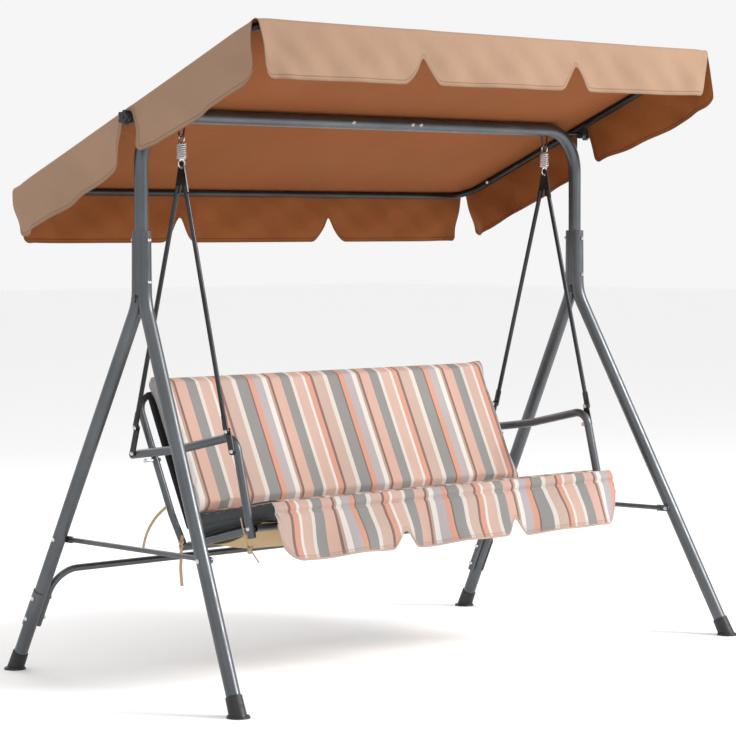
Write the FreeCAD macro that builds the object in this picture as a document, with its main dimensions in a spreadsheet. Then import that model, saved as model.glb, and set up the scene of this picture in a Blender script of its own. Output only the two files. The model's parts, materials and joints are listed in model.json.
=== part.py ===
import FreeCAD, Part
import math
import os

import Sketcher

from FreeCAD import Placement, Rotation, Vector

# Canopy swing bench: two splayed tube stands carry one top beam. A bench hangs from the beam
# on two coil springs, and a fabric canopy tilts about two knobs at the ends of the beam.
# X runs to the right seen from the front, the front faces -Y, Z is up, millimetres.
# The origin is on the ground under the middle of the beam.

os.makedirs("parts", exist_ok=True)
doc = FreeCAD.newDocument("canopy_swing_bench")

# ---------------------------------------------------------------- driving dimensions
SIZES = {
    "tube_size": 38.0,
    "tube_wall": 1.5,
    "fit_gap": 0.3,
    "beam_height": 1535.0,
    "upright_side": 878.0,
    "beam_bend": 125.0,
    "beam_joint_side": 155.0,
    "sleeve_top": 1227.0,
    "sleeve_length": 180.0,
    "press_offset": 11.0,
    "leg_bend_height": 1035.0,
    "front_foot_side": 998.0,
    "rear_foot_side": 920.0,
    "foot_depth": 510.0,
    "cap_height": 50.0,
    "cap_size": 46.0,
    "cap_flange": 62.0,
    "side_bar_size": 14.0,
    "side_bar_height": 378.0,
    "rear_bar_size": 19.0,
    "rear_bar_height": 288.0,
    "bolt_size": 6.0,
    "bolt_head": 12.0,
    "hanger_side": 736.0,
    "hook_height": 1481.0,
    "hook_wire": 5.0,
    "spring_size": 28.0,
    "spring_wire": 4.0,
    "spring_turns": 7.0,
    "rod_size": 13.0,
    "plate_thick": 4.0,
    "arm_side": 715.0,
    "arm_size": 24.0,
    "seat_tube_size": 20.0,
    "seat_tube_side": 690.0,
    "cushion_half": 664.0,
    "back_cushion_thick": 54.0,
    "sling_thick": 3.0,
    "pivot_height": 1527.0,
    "canopy_tilt": 22.8,
    "canopy_half": 921.0,
    "canopy_reach": 545.0,
    "canopy_skin": 3.0,
    "canopy_rise": 28.3,
    "canopy_tube": 19.0,
    "valance_drop": 145.0,
    "notch_rise": 84.0,
    "tie_size": 4.0,
}

sheet = doc.addObject("Spreadsheet::Sheet", "Sizes")
for row, (alias, value) in enumerate(SIZES.items(), start=1):
    sheet.set("A%d" % row, alias)
    sheet.set("B%d" % row, str(value))
    sheet.setAlias("B%d" % row, alias)
doc.recompute()


def size(alias):
    return float(getattr(sheet, alias))


TUBE = size("tube_size")
GAP = size("fit_gap")
UP = Vector(0, 0, 1)
SIDES = {"left": -1, "right": 1}
ENDS = {"front": -1, "rear": 1}
made = {}


# ---------------------------------------------------------------- helpers
def keep(label, obj):
    """Remember an object as the sub-part that its label names."""
    obj.Label = label
    made[label] = obj
    return obj


def feature(label, shape):
    """A sub-part whose shape comes from Part functions that read the sheet."""
    obj = doc.addObject("Part::Feature", label)
    obj.Shape = shape
    return keep(label, obj)


def rod(start, end, diameter, beyond=0.0):
    """A straight solid cylinder from start to end, longer by beyond at both ends."""
    run = end.sub(start)
    along = Vector(run).normalize()
    first = start.sub(along.multiply(beyond))
    return Part.makeCylinder(diameter / 2, run.Length + 2 * beyond, first, run)


def box(low, high):
    span = high.sub(low)
    return Part.makeBox(span.x, span.y, span.z, low)


def rounded_path(points, radius):
    """Straight runs through the points, joined by tangent arcs; radius may be one per bend."""
    bends = len(points) - 2
    radii = radius if isinstance(radius, (list, tuple)) else [radius] * bends
    edges = []
    start = points[0]
    for index in range(bends):
        before, corner, after = points[index], points[index + 1], points[index + 2]
        back = before.sub(corner).normalize()
        ahead = after.sub(corner).normalize()
        half_turn = (math.pi - back.getAngle(ahead)) / 2
        reach = radii[index] * math.tan(half_turn)
        inward = (back + ahead).normalize()
        centre = corner + inward * (radii[index] / math.cos(half_turn))
        arc_in = corner + back * reach
        arc_out = corner + ahead * reach
        middle = centre + corner.sub(centre).normalize() * radii[index]
        edges.append(Part.LineSegment(start, arc_in).toShape())
        edges.append(Part.Arc(arc_in, middle, arc_out).toShape())
        start = arc_out
    edges.append(Part.LineSegment(start, points[-1]).toShape())
    return Part.Wire(edges)


def sweep(points, radius, diameter):
    """A solid bar of round section along a rounded path."""
    path = rounded_path(points, radius)
    heading = points[1].sub(points[0])
    section = Part.Wire(Part.makeCircle(diameter / 2, points[0], heading))
    return path.makePipeShell([section], True, False)


def tube(points, radius, diameter, wall):
    """A hollow bent tube, open at both ends."""
    outer = sweep(points, radius, diameter)
    inner = sweep(points, radius, diameter - 2 * wall)
    return outer.cut(inner)


def slab(outline, plane_x, thickness):
    """A plate with its outline given as (Y, Z) pairs, centred on X = plane_x."""
    corners = [Vector(plane_x - thickness / 2, y, z) for y, z in outline]
    face = Part.Face(Part.makePolygon(corners + corners[:1]))
    return face.extrude(Vector(thickness, 0, 0))


def polygon(sketch, outline):
    """A closed outline in a sketch; each corner's place is an expression of the sheet."""
    values = [(evaluate(x), evaluate(y)) for x, y in outline]
    lines = len(values)
    for index in range(lines):
        start, end = values[index], values[(index + 1) % lines]
        segment = Part.LineSegment(Vector(start[0], start[1], 0), Vector(end[0], end[1], 0))
        sketch.addGeometry(segment, False)
    for index in range(lines):
        joint = Sketcher.Constraint("Coincident", index, 2, (index + 1) % lines, 1)
        sketch.addConstraint(joint)
    for index, (x, y) in enumerate(outline):
        for kind, text, value in (("DistanceX", x, values[index][0]), ("DistanceY", y, values[index][1])):
            if abs(value) < 1e-9:
                axis = -2 if kind == "DistanceX" else -1
                sketch.addConstraint(Sketcher.Constraint("PointOnObject", index, 1, axis))
                continue
            made_constraint = sketch.addConstraint(Sketcher.Constraint(kind, -1, 1, index, 1, value))
            if any(name in text for name in SIZES):
                sketch.setExpression("Constraints[%d]" % made_constraint, bound(text))


def bound(text):
    """An expression with each size name written as a reference to the sheet."""
    words = text.replace("(", "( ").replace(")", " )").split(" ")
    return " ".join("Sizes." + word if word in SIZES else word for word in words)


def evaluate(text):
    """The present value of a short sum, such as cap_size / 2 + 1, of sheet sizes."""
    total, sign, product, divide = 0.0, 1, None, False
    for word in text.split(" ") + ["+"]:
        if word in "+-*/" and word:
            if word in "+-":
                total += sign * (product or 0.0)
                sign = 1 if word == "+" else -1
                product = None
            divide = word == "/"
            continue
        number = size(word) if word in SIZES else float(word)
        if product is None:
            product = number
        else:
            product = product / number if divide else product * number
    return total


# Bolts are listed first, because every tube is drilled for the bolts that cross it.
bolts = {}


def add_bolt(group, start, end):
    """A bolt from start to end, its head outside start and its nut outside end."""
    bolts.setdefault(group, []).append((start, end))


def drilled(shape):
    """The shape with a clear hole for each bolt that passes through it."""
    for group in bolts.values():
        for start, end in group:
            hole = rod(start, end, size("bolt_size") + 2 * GAP, beyond=TUBE / 4)
            if shape.distToShape(hole)[0] < 0.01:
                shape = shape.cut(hole)
    return shape


def bolt_shape(start, end):
    """A bolt from start to end with a hexagon nut; a short one is a rivet with no nut."""
    along = end.sub(start).normalize()
    shank = rod(start, end, size("bolt_size"))
    radius = size("bolt_head") / 2
    head = Part.makeCone(radius, radius * 0.55, 4.5, start, along * -1)
    ring = [Vector(radius, 0, 0)]
    for corner in range(1, 7):
        turn = math.radians(60 * corner)
        ring.append(Vector(radius * math.cos(turn), radius * math.sin(turn), 0))
    nut = Part.Face(Part.makePolygon(ring)).extrude(Vector(0, 0, 5))
    nut.Placement = Placement(end, Rotation(UP, along))
    bolt = shank.fuse(head)
    return bolt if end.sub(start).Length < 8 else bolt.fuse(nut)


# ---------------------------------------------------------------- key points
BEAM_Z = size("beam_height")
UPRIGHT_X = size("upright_side")
SLEEVE_TOP = size("sleeve_top")
SLEEVE_LOW = SLEEVE_TOP - size("sleeve_length")
HANGER_X = size("hanger_side")
HOOK_Z = size("hook_height")
PIVOT_Z = size("pivot_height")


def foot_point(side, end):
    """Where a leg's centre line meets the ground."""
    reach = size("front_foot_side") if end < 0 else size("rear_foot_side")
    return Vector(side * reach, end * size("foot_depth"), 0)


def knee_point(side, end):
    """Where a leg's centre line turns upright beside its neighbour."""
    return Vector(side * UPRIGHT_X, end * (size("press_offset") + 2), size("leg_bend_height"))


def leg_point(side, end, height):
    """A point of a leg's centre line at a height below the knee."""
    foot, knee = foot_point(side, end), knee_point(side, end)
    return foot + knee.sub(foot) * (height / knee.z)


# ---------------------------------------------------------------- bolts of the stand
PRESS = size("press_offset") + TUBE / 2 + 2
SLEEVE_BOLT_DROPS = (24.0, 136.0)
SIDE_BAR_Z = size("side_bar_height")
REAR_BAR_Z = size("rear_bar_height")

for side_name, side in SIDES.items():
    for drop in SLEEVE_BOLT_DROPS:
        height = SLEEVE_TOP - drop
        front = Vector(side * UPRIGHT_X, -PRESS, height)
        rear = Vector(side * UPRIGHT_X, PRESS, height)
        add_bolt("stand_bolts", front, rear)

BEAM_BOLT_X = (-103.0, 138.0, 172.0)
for place in BEAM_BOLT_X:
    front = Vector(place, -TUBE / 2, BEAM_Z)
    add_bolt("stand_bolts", front, Vector(place, TUBE / 2, BEAM_Z))

# The side bar lies on the inner faces of a stand's two legs, the rear bar's ends on the
# inner faces of the two rear legs.
HEAD_CLEAR = 0.9
BAR_TUCK = TUBE / 2 + size("side_bar_size") / 4 + 4 * GAP


def side_bar_end(side, end):
    """Where the flattened end of a side bar is bolted to a leg."""
    centre = leg_point(side, end, SIDE_BAR_Z)
    return centre - Vector(side * BAR_TUCK, 0, 0)


for side_name, side in SIDES.items():
    for end in ENDS.values():
        flat = size("side_bar_size") / 4 + HEAD_CLEAR
        inner = side_bar_end(side, end) - Vector(side * flat, 0, 0)
        outer = leg_point(side, end, SIDE_BAR_Z) + Vector(side * (TUBE / 2 + HEAD_CLEAR), 0, 0)
        add_bolt("stand_bolts", outer, inner)

REAR_TUCK = TUBE / 2 + size("rear_bar_size") / 2 + GAP
REAR_TAIL_HEIGHTS = (208.0, 150.0)


def rear_tail(side, height):
    """The centre line of the rear bar's end, beside the rear leg."""
    return leg_point(side, 1, height) - Vector(side * REAR_TUCK, 0, 0)


for side_name, side in SIDES.items():
    for height in REAR_TAIL_HEIGHTS:
        outer = leg_point(side, 1, height) + Vector(side * (TUBE / 2 + 3 + HEAD_CLEAR), 0, 0)
        tail_face = size("rear_bar_size") / 2 + HEAD_CLEAR
        inner = rear_tail(side, height) - Vector(side * tail_face, 0, 0)
        add_bolt("stand_bolts", outer, inner)


# ---------------------------------------------------------------- stand
BEAM_IN_SLEEVE = 10.0
SPIGOT_IN = 60.0
SPIGOT_OUT = 45.0
SPIGOT_WALL = 1.5
NECK = 20.0


def half_beam(side):
    """One half of the beam with its upright; the left half ends in a narrow spigot."""
    low = Vector(side * UPRIGHT_X, 0, SLEEVE_LOW + BEAM_IN_SLEEVE)
    corner = Vector(side * UPRIGHT_X, 0, BEAM_Z)
    joint_x = size("beam_joint_side")
    body = tube([low, corner, Vector(joint_x, 0, BEAM_Z)], size("beam_bend"), TUBE, size("tube_wall"))
    if side < 0:
        bore = TUBE - 2 * size("tube_wall") - 2 * GAP
        inner = Vector(joint_x - SPIGOT_IN, 0, BEAM_Z)
        outer = Vector(joint_x + SPIGOT_OUT, 0, BEAM_Z)
        spigot = rod(inner, outer, bore)
        hollow = rod(inner, outer, bore - 2 * SPIGOT_WALL, 1)
        neck = rod(inner, inner + Vector(NECK, 0, 0), bore + 1)
        body = body.fuse(spigot.fuse(neck).cut(hollow))
        body = body.removeSplitter()
    return body


LEG_BEND = 160.0
LEG_BORE_STOP = 90.0
CAP_SOLE = 2.5
FAR = 1500.0


def leg(side, end):
    """A splayed leg whose top is pressed into a crescent round the upright."""
    foot, knee = foot_point(side, end), knee_point(side, end)
    top = Vector(side * UPRIGHT_X, end * size("press_offset"), SLEEVE_TOP)
    outer = sweep([foot, knee, top], LEG_BEND, TUBE)
    hollow = rod(foot, leg_point(side, end, knee.z - LEG_BORE_STOP), TUBE - 2 * size("tube_wall"), 1)
    upright = rod(Vector(side * UPRIGHT_X, 0, SLEEVE_LOW - 12), Vector(side * UPRIGHT_X, 0, BEAM_Z),
                  TUBE + 2 * GAP)
    away = 200 * -end
    other_half = box(Vector(side * UPRIGHT_X - 100, min(-GAP * end, away), 900),
                     Vector(side * UPRIGHT_X + 100, max(-GAP * end, away), 1400))
    other_half.translate(Vector(0, GAP * end * 2, 0))
    below = box(Vector(-FAR, -FAR, -FAR), Vector(FAR, FAR, CAP_SOLE))
    shape = outer.cut(hollow).cut(upright).cut(other_half).cut(below)
    return max(drilled(shape).Solids, key=lambda solid: solid.Volume)


for side_name, side in SIDES.items():
    feature("beam_" + side_name, drilled(half_beam(side)))
    for end_name, end in ENDS.items():
        feature("leg_%s_%s" % (end_name, side_name), leg(side, end))


LUG = 34.0
LUG_WIDE = 1.3


def flat_ended_bar(start, end, diameter, normal):
    """A straight bar whose two ends are pressed flat and rounded for a bolt."""
    run = end.sub(start).normalize()
    wide = diameter * LUG_WIDE
    shape = rod(start + run * (LUG * 0.6), end - run * (LUG * 0.6), diameter)
    thick = diameter / 2
    across = run.cross(normal).normalize()
    for place, inward in ((start, run), (end, run * -1)):
        tip = rod(place - normal * (thick / 2), place + normal * (thick / 2), wide)
        first = place - across * (wide / 2) - normal * (thick / 2)
        corners = [first, first + across * wide]
        corners.append(corners[1] + inward * LUG)
        corners.append(first + inward * LUG)
        tongue = Part.Face(Part.makePolygon(corners + corners[:1])).extrude(normal * thick)
        shape = shape.fuse(tip).fuse(tongue)
    return shape


for side_name, side in SIDES.items():
    front, rear = side_bar_end(side, -1), side_bar_end(side, 1)
    bar = flat_ended_bar(front, rear, size("side_bar_size"), Vector(1, 0, 0))
    feature("side_bar_" + side_name, drilled(bar))


REAR_BAR_BEND = 75.0
REAR_TAIL_END = 22.0


def rear_bar():
    """The bar between the rear legs: level in the middle, turned down along each leg."""
    route = []
    for side in SIDES.values():
        low = rear_tail(side, REAR_TAIL_HEIGHTS[1] - REAR_TAIL_END)
        bend = rear_tail(side, REAR_BAR_Z)
        route.append((low, bend))
    points = [route[0][0], route[0][1], route[1][1], route[1][0]]
    return sweep(points, REAR_BAR_BEND, size("rear_bar_size"))


feature("rear_bar", drilled(rear_bar()))


CLAMP_END = 20.0
CLAMP_THICK = 3.0


def clamp_plate(side):
    """A bent strap on the outer face of a rear leg, under the heads of the rear bar's bolts."""
    low = leg_point(side, 1, REAR_TAIL_HEIGHTS[1] - CLAMP_END)
    high = leg_point(side, 1, REAR_TAIL_HEIGHTS[0] + CLAMP_END)
    shell = rod(low, high, TUBE + 2 * CLAMP_THICK).cut(rod(low, high, TUBE + 2 * GAP, 1))
    middle = (REAR_TAIL_HEIGHTS[0] + REAR_TAIL_HEIGHTS[1]) / 2
    keep_x = sorted((side * FAR, leg_point(side, 1, middle).x + side * 2 * CLAMP_THICK))
    return shell.common(box(Vector(keep_x[0], 0, 0), Vector(keep_x[1], FAR, FAR)))


feature("rear_clamps", drilled(clamp_plate(-1).fuse(clamp_plate(1))))


FLANGE_THICK = 6.0
CAP_DRAFT = 1.0


def foot_cap(side, end):
    """A plastic shoe on a leg's lower end, with a flange flat on the ground."""
    foot, top = foot_point(side, end), leg_point(side, end, size("cap_height"))
    lean = top.sub(foot)
    wide, narrow = size("cap_size") / 2 + CAP_DRAFT, size("cap_size") / 2 - CAP_DRAFT
    shoe = Part.makeCone(wide, narrow, lean.Length + 20, foot - lean.normalize() * 20, lean)
    rim = size("cap_flange") / 2
    flange = Part.makeCone(rim, rim - 2 * CAP_DRAFT, FLANGE_THICK, foot, UP)
    bore = rod(foot, leg_point(side, end, 200), TUBE + 2 * GAP, 30)
    ground = box(Vector(-FAR, -FAR, -FAR), Vector(FAR, FAR, 0))
    sole = box(Vector(-FAR, -FAR, -FAR), Vector(FAR, FAR, CAP_SOLE - GAP))
    return shoe.fuse(flange).cut(ground).cut(bore.cut(sole))


for side_name, side in SIDES.items():
    for end_name, end in ENDS.items():
        feature("foot_%s_%s" % (end_name, side_name), foot_cap(side, end))


HOOK_HALF = 15.0
HOOK_BEND = 4.5
HOOK_SEAT = 6.5


def eye_hook(side):
    """The black wire loop under the beam that the spring hangs from, a V across X."""
    root = BEAM_Z - TUBE / 4
    shape = ((-HOOK_HALF, root), (-HOOK_SEAT, HOOK_Z), (HOOK_SEAT, HOOK_Z), (HOOK_HALF, root))
    points = [Vector(side * HANGER_X + across, 0, height) for across, height in shape]
    loop = sweep(points, HOOK_BEND, size("hook_wire"))
    beam = rod(Vector(-UPRIGHT_X, 0, BEAM_Z), Vector(UPRIGHT_X, 0, BEAM_Z), TUBE)
    return loop.cut(beam)


for side_name, side in SIDES.items():
    feature("hook_" + side_name, eye_hook(side))


# ---------------------------------------------------------------- springs
RING = 11.0
RING_RISE = 6.0
RING_FALL = 13.0
COIL_TOP = HOOK_Z - 19
COIL_LOW = HOOK_Z - 60


def spring(side):
    """A coil spring with a closed ring at each end: the upper one round the hook's wire."""
    wire = size("spring_wire")
    mean = (size("spring_size") - wire) / 2
    pitch = (COIL_TOP - COIL_LOW) / size("spring_turns")
    helix = Part.makeHelix(pitch, COIL_TOP - COIL_LOW, mean)
    section = Part.Wire(Part.makeCircle(wire / 2, Vector(mean, 0, 0), Vector(0, 1, 0)))
    coil = Part.Wire(helix).makePipeShell([section], True, True)
    coil.translate(Vector(side * HANGER_X, 0, COIL_LOW))
    middle = Vector(side * HANGER_X, 0, 0)
    upper = Part.makeTorus(RING, wire / 2, middle + UP * (HOOK_Z - RING_RISE), Vector(1, 0, 0))
    lower = Part.makeTorus(RING, wire / 2, middle + UP * (COIL_LOW - RING_FALL), Vector(0, 1, 0))
    shape = coil
    for height, ring in ((COIL_TOP, upper), (COIL_LOW, lower)):
        bar = rod(middle + Vector(-mean, 0, height), middle + Vector(mean, 0, height), wire)
        shape = shape.fuse(bar).fuse(ring)
    return shape


for side_name, side in SIDES.items():
    feature("spring_" + side_name, spring(side))


# ---------------------------------------------------------------- hangers
EYE_Z = COIL_LOW - RING_FALL - RING
EYE_SIZE = 10.5
ROD_TOP = {"front": Vector(0, -14, 1350), "rear": Vector(0, 14, 1350)}
ROD_LOW = {"front": Vector(0, -176, 693), "rear": Vector(0, 200, 684)}
LINK_LOW = {"front": Vector(0, -190, 640), "rear": Vector(0, 221, 611)}


def plate_body(label, outline, holes, thickness, place):
    """A flat plate from a sketched outline in (Y, Z) with round holes, padded along X."""
    body = doc.addObject("PartDesign::Body", label)
    plane = [f for f in body.Origin.OriginFeatures if f.Role == "YZ_Plane"][0]
    sketch = body.newObject("Sketcher::SketchObject", label + "_outline")
    sketch.AttachmentSupport = [(plane, "")]
    sketch.MapMode = "FlatFace"
    polygon(sketch, outline)
    for y, z, diameter in holes:
        circle = Part.Circle(Vector(y, z, 0), UP, diameter / 2)
        number = sketch.addGeometry(circle, False)
        sketch.addConstraint(Sketcher.Constraint("Radius", number, diameter / 2))
    pad = body.newObject("PartDesign::Pad", label + "_pad")
    pad.Profile = sketch
    pad.Midplane = True
    pad.setExpression("Length", bound(thickness))
    body.Placement = Placement(place, Rotation())
    return keep(label, body)


for side_name, side in SIDES.items():
    outline = (("-9", "16"), ("9", "16"), ("27", "-66"), ("6", "-66"),
               ("0.5", "-40"), ("-0.5", "-40"), ("-6", "-66"), ("-27", "-66"))
    plate_body("gusset_" + side_name, outline, [(0, 0, EYE_SIZE)], "plate_thick",
               Vector(side * HANGER_X, 0, EYE_Z))


ROD_FLAT = 5.0
ROD_LUG = 44.0


def hanger_rod(side, end_name):
    """One hanger rod from under the gusset to its flattened, bolted lower end."""
    shift = Vector(side * HANGER_X, 0, 0)
    top, low = ROD_TOP[end_name] + shift, ROD_LOW[end_name] + shift
    run = low.sub(top).normalize()
    shape = rod(top, low - run * 20, size("rod_size"))
    thick, wide = ROD_FLAT, size("rod_size") * 1.35
    across = run.cross(Vector(1, 0, 0)).normalize()
    corner = low - run * ROD_LUG - across * (wide / 2) - Vector(thick / 2, 0, 0)
    corners = [corner, corner + across * wide]
    corners += [corners[1] + run * ROD_LUG, corner + run * ROD_LUG]
    tongue = Part.Face(Part.makePolygon(corners + corners[:1])).extrude(Vector(thick, 0, 0))
    tip = rod(low - Vector(thick / 2, 0, 0), low + Vector(thick / 2, 0, 0), wide)
    slot = slab([(-40, EYE_Z + 40), (40, EYE_Z + 40), (40, EYE_Z - 70), (-40, EYE_Z - 70)],
                side * HANGER_X, size("plate_thick") + 2 * GAP)
    return shape.cut(slot).fuse(tongue).fuse(tip)


ARM_X = size("arm_side")
LINK_X = ARM_X + size("arm_size") / 2 + GAP + size("plate_thick") / 2
for side_name, side in SIDES.items():
    for end_name in ENDS:
        place = ROD_LOW[end_name]
        outer = Vector(side * (HANGER_X + 3), place.y, place.z)
        inner = Vector(side * (LINK_X - size("plate_thick") / 2), place.y, place.z)
        add_bolt("seat_bolts", outer, inner)
        place = LINK_LOW[end_name]
        outer = Vector(side * (LINK_X + size("plate_thick") / 2), place.y, place.z)
        reach = ARM_X - size("arm_size") / 2
        add_bolt("seat_bolts", outer, Vector(side * reach, place.y, place.z))

for side_name, side in SIDES.items():
    for end_name in ENDS:
        shape = hanger_rod(side, end_name)
        feature("hanger_rod_%s_%s" % (end_name, side_name), drilled(shape))


# ---------------------------------------------------------------- seat frame
FRONT_RAIL = Vector(0, -250, 437)
REAR_RAIL = Vector(0, 50, 362)
BACK_LOW = Vector(0, 31, 459)
BACK_TOP = Vector(0, 199, 824)
SEAT_TUBE = size("seat_tube_size")
SEAT_X = size("seat_tube_side")
back_up = BACK_TOP.sub(BACK_LOW).normalize()
back_rear = Vector(0, back_up.z, -back_up.y)
seat_rear = REAR_RAIL.sub(FRONT_RAIL).normalize()
seat_up = Vector(0, -seat_rear.z, seat_rear.y)
BACK_TUBE_SET = size("back_cushion_thick") + size("sling_thick") + SEAT_TUBE / 2 + 1


def back_point(rise, set_back):
    """A point of the back: rise along the leaning face, set_back behind the face."""
    return BACK_LOW + back_up * rise + back_rear * set_back


ARM_REAR = Vector(0, 238, 607)
ARM_MID = Vector(0, 40, 632)
ARM_CORNER = Vector(0, -187, 681)
ARM_FOOT = Vector(0, -253, 412)
ARM_BENDS = [500, 42]
ARM_BOLT_RISE = 180.0
arm_bolt = back_point(ARM_BOLT_RISE, BACK_TUBE_SET)
post_bolt = Vector(0, FRONT_RAIL.y, FRONT_RAIL.z)
for side_name, side in SIDES.items():
    outer_x = side * (ARM_X + size("arm_size") / 2)
    inner_x = side * (SEAT_X - SEAT_TUBE / 2)
    add_bolt("seat_bolts", arm_bolt + Vector(outer_x, 0, 0), arm_bolt + Vector(inner_x, 0, 0))
    rail_x = side * (SEAT_X - 6)
    add_bolt("seat_bolts", post_bolt + Vector(outer_x, 0, 0), post_bolt + Vector(rail_x, 0, 0))


def armrest(side):
    """The tube that is both armrest and front post of the seat."""
    shift = Vector(side * ARM_X, 0, 0)
    points = [p + shift for p in (ARM_REAR, ARM_MID, ARM_CORNER, ARM_FOOT)]
    return tube(points, ARM_BENDS, size("arm_size"), size("tube_wall"))


LINK_WIDE = 20.0


def link_plate(side, end_name):
    """The strap between a hanger rod's lower end and the armrest."""
    shift = Vector(side * LINK_X, 0, 0)
    high, low = ROD_LOW[end_name] + shift, LINK_LOW[end_name] + shift
    run = low.sub(high).normalize()
    across = Vector(0, run.z, -run.y)
    half = Vector(size("plate_thick") / 2, 0, 0)
    shape = rod(high - half, high + half, LINK_WIDE).fuse(rod(low - half, low + half, LINK_WIDE))
    edge = across * (LINK_WIDE / 2)
    corners = [high + edge, high - edge, low - edge, low + edge]
    corners = [corner - half for corner in corners]
    strap = Part.Face(Part.makePolygon(corners + corners[:1])).extrude(half * 2)
    return shape.fuse(strap)


links = None
for side_name, side in SIDES.items():
    feature("armrest_" + side_name, drilled(armrest(side)))
    for end_name in ENDS:
        plate = drilled(link_plate(side, end_name))
        links = plate if links is None else links.fuse(plate)
feature("hanger_links", links)


RAIL_OVERHANG = 10.0


def cross_rail(label, centre):
    """A straight seat rail along X: a tube cut from two cylinders bound to the sheet."""
    outer = doc.addObject("Part::Cylinder", label + "_outer")
    inner = doc.addObject("Part::Cylinder", label + "_bore")
    turn = Rotation(Vector(0, 1, 0), 90)
    for cylinder, radius in ((outer, "Sizes.seat_tube_size / 2"),
                             (inner, "Sizes.seat_tube_size / 2 - Sizes.tube_wall")):
        cylinder.setExpression("Radius", radius)
        cylinder.setExpression("Height", "2 * Sizes.seat_tube_side + %g" % (2 * RAIL_OVERHANG))
        half = size("seat_tube_side") + RAIL_OVERHANG
        cylinder.Placement = Placement(centre - Vector(half, 0, 0), turn)
    rail = doc.addObject("Part::Cut", label)
    rail.Base = outer
    rail.Tool = inner
    return keep(label, rail)


cross_rail("seat_front_rail", FRONT_RAIL)
cross_rail("seat_rear_rail", REAR_RAIL)

for side_name, side in SIDES.items():
    shift = Vector(side * SEAT_X, 0, 0)
    clear = SEAT_TUBE / 2 + GAP
    first = FRONT_RAIL + shift + seat_rear * clear
    last = REAR_RAIL + shift - seat_rear * clear
    shape = rod(first, last, SEAT_TUBE)
    saddle_front = rod(FRONT_RAIL + shift * 0.9, FRONT_RAIL + shift * 1.1, SEAT_TUBE + 2 * GAP)
    saddle_rear = rod(REAR_RAIL + shift * 0.9, REAR_RAIL + shift * 1.1, SEAT_TUBE + 2 * GAP)
    feature("seat_side_" + side_name, shape.cut(saddle_front).cut(saddle_rear))


BACK_BAR_RISE = 372.0
BACK_KNEE_RISE = 20.0
BACK_BENDS = [120, 55, 55, 120]


def back_frame():
    """The inverted U of the back, its two ends standing on the rear rail."""
    top = back_point(BACK_BAR_RISE, BACK_TUBE_SET)
    foot = REAR_RAIL + back_up * (SEAT_TUBE / 2 + 1)
    knee = back_point(BACK_KNEE_RISE, BACK_TUBE_SET)
    points = []
    for side in (-1, 1):
        shift = Vector(side * SEAT_X, 0, 0)
        run = [foot + shift, knee + shift, top + shift]
        points += run if side < 0 else run[::-1]
    return tube(points, BACK_BENDS, SEAT_TUBE, size("tube_wall"))


feature("back_frame", drilled(back_frame()))


# ---------------------------------------------------------------- slings, cushions and skirt
CUSHION_X = size("cushion_half")
SLING_X = SEAT_X - SEAT_TUBE / 2 - 4


def profile_block(label, outline, half_width):
    """A closed solid with one outline in (Y, Z), centred on X = 0."""
    return feature(label, slab([(point.y, point.z) for point in outline], 0, 2 * half_width))


sling_base = SEAT_TUBE / 2 + GAP
sling_top = sling_base + size("sling_thick")
profile_block("seat_sling", [
    FRONT_RAIL - seat_rear * 6 + seat_up * sling_base, REAR_RAIL - seat_rear * 4 + seat_up * sling_base,
    REAR_RAIL - seat_rear * 4 + seat_up * sling_top, FRONT_RAIL - seat_rear * 6 + seat_up * sling_top],
    SLING_X)

sling_face = size("back_cushion_thick") + GAP
sling_back = sling_face + size("sling_thick")
SLING_LOW = -30.0
SLING_HIGH = 376.0
profile_block("back_sling", [
    back_point(SLING_LOW, sling_face), back_point(SLING_HIGH, sling_face),
    back_point(SLING_HIGH, sling_back), back_point(SLING_LOW, sling_back)], SLING_X)

SEAT_OVERHANG = 50.0
BACK_RISE = 402.0
seat_front = FRONT_RAIL - seat_rear * SEAT_OVERHANG
cushion_base = sling_top + GAP
CUSHION_FRONT_TOP = Vector(0, -300, 509)
profile_block("seat_cushion", [
    seat_front + seat_up * cushion_base, REAR_RAIL - seat_rear * 14 + seat_up * cushion_base,
    back_point(-8, 40), BACK_LOW - Vector(0, 3, 4), CUSHION_FRONT_TOP], CUSHION_X)

profile_block("back_cushion", [
    back_point(0, 0), back_point(BACK_RISE, 0),
    back_point(BACK_RISE, size("back_cushion_thick")), back_point(0, size("back_cushion_thick"))], CUSHION_X)


def scalloped_edge(half_width, drop, rise, corner, notch_half):
    """The lower edge of a three-lobed valance as (across, down) pairs from left to right."""
    edge = []
    steps = 5
    for step in range(steps + 1):
        turn = math.pi / 2 * step / steps
        edge.append((-half_width + corner * (1 - math.cos(turn)), drop - corner * (1 - math.sin(turn))))
    for notch in (-half_width / 3, half_width / 3):
        for step in range(-4, 5):
            near = 1 - abs(step) / 4
            edge.append((notch + notch_half * step / 4, drop - rise * near ** 1.5))
    mirrored = [(-across, down) for across, down in edge[:steps + 1]]
    return edge + mirrored[::-1]


def hanging_panel(top, down, edge, half_width, thickness):
    """A three-lobed cloth panel hanging from a straight top line along X, in direction down."""
    outline = [Vector(-half_width, 0, 0)]
    outline += [Vector(across, 0, 0) + down * depth for across, depth in edge]
    outline += [Vector(half_width, 0, 0)]
    outline = [top + point for point in outline]
    face = Part.Face(Part.makePolygon(outline + outline[:1]))
    normal = down.cross(Vector(1, 0, 0)).normalize()
    return face.extrude(normal * thickness)


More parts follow.
